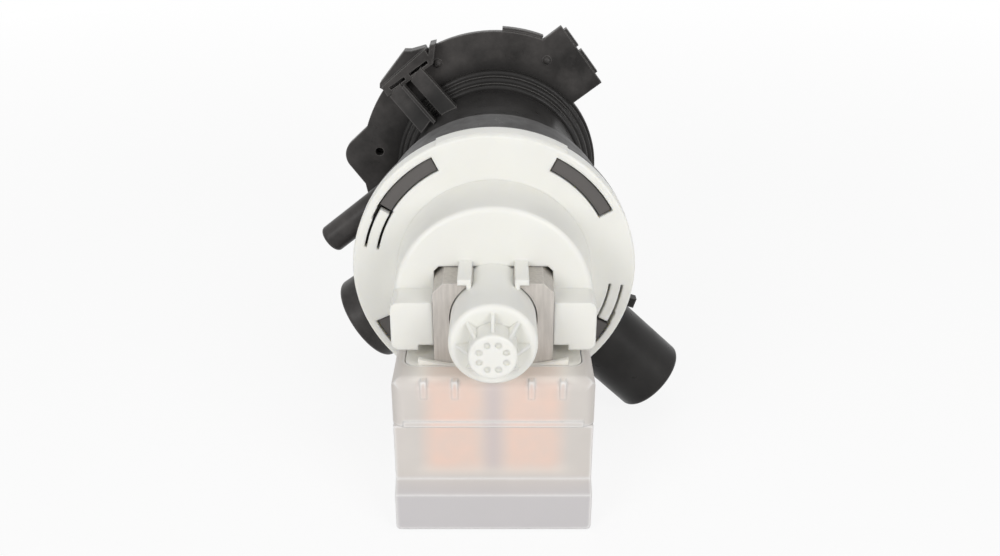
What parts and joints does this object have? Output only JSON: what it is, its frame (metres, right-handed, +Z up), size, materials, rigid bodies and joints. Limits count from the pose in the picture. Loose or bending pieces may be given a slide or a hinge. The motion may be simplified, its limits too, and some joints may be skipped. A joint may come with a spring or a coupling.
{
  "type": "washer drain pump",
  "caption": "Drain pump for a washing machine: synchronous motor with twin coils on a bayonet bracket, black pump and filter housing with hose stubs, screw-in lint filter.",
  "frame": {"origin": "on the rotor axis, in the front face of the mounting plate, at the collar's foot", "axes": "+Y along the rotor axis out of the filter end, +Z up, +X to the right as seen from the motor end"},
  "size_m": [0.1324, 0.1989, 0.1204],
  "materials": {
    "black_plastic": "satin moulded",
    "white_plastic": "satin moulded",
    "rubber": "matte",
    "lamination": "stacked sheet edges",
    "rivet_steel": "plain",
    "cream_plastic": "satin moulded",
    "copper_wire": "enamelled copper",
    "milky_plastic": "translucent",
    "tinned_brass": "tinned",
    "fuse_body": "plain",
    "ferrite": "sintered",
    "shaft_steel": "ground",
    "bearing_bronze": "sintered",
    "wheel_plastic": "satin moulded",
    "filter_plastic": "satin moulded"
  },
  "bodies": {
    "pump": {"housing_plate": "black_plastic", "housing_neck": "black_plastic", "housing_clip": "black_plastic", "housing_chamber": "black_plastic", "housing_inlet": "black_plastic", "housing_drain": "black_plastic", "housing_outlet": "black_plastic", "housing_volute": "black_plastic", "housing_eye": "black_plastic", "housing_rim": "black_plastic", "motor_bracket": "white_plastic", "bracket_seal": "rubber", "stator_core": "lamination", "core_rivets": "rivet_steel", "coil_former": "cream_plastic", "winding_left": "copper_wire", "winding_right": "copper_wire", "winding_wire_left": "copper_wire", "winding_wire_right": "copper_wire", "coil_cover": "milky_plastic", "coil_tray": "milky_plastic", "terminals": "tinned_brass", "thermal_fuse": "fuse_body", "rear_bearing": "bearing_bronze", "front_bearing": "bearing_bronze", "rear_bearing_mount": "rubber", "bearing_holder": "cream_plastic", "shaft_seal": "rubber", "thrust_washers": "bearing_bronze"},
    "rotor": {"rotor_magnet": "ferrite", "rotor_shaft": "shaft_steel", "drive_dog": "cream_plastic"},
    "pump_wheel": {"impeller": "wheel_plastic", "impeller_cap": "wheel_plastic"},
    "filter_slide": {"cap_gasket": "rubber"},
    "filter": {"filter_cap": "filter_plastic", "filter_grip": "filter_plastic", "filter_basket": "filter_plastic", "basket_bars": "filter_plastic"}
  },
  "joints": [
    {"name": "rotor_spin", "type": "hinge", "parent": "pump", "child": "rotor", "pos_m": [0, 0, 0], "axis": [0, 1, 0], "continuous": true},
    {"name": "wheel_play", "type": "hinge", "parent": "rotor", "child": "pump_wheel", "pos_m": [0, 0, 0], "axis": [0, 1, 0], "range_deg": [0, 242]},
    {"name": "filter_lift", "type": "slide", "parent": "pump", "child": "filter_slide", "axis": [0, 1, 0], "range_m": [0, 0.012]},
    {"name": "filter_turn", "type": "hinge", "parent": "filter_slide", "child": "filter", "pos_m": [0, 0, 0], "axis": [0, 1, 0], "range_deg": [0, 540]}
  ],
  "couplings": [
    {"joint": "filter_lift", "follows": "filter_turn", "m_per_rad": 0.0012732}
  ]
}
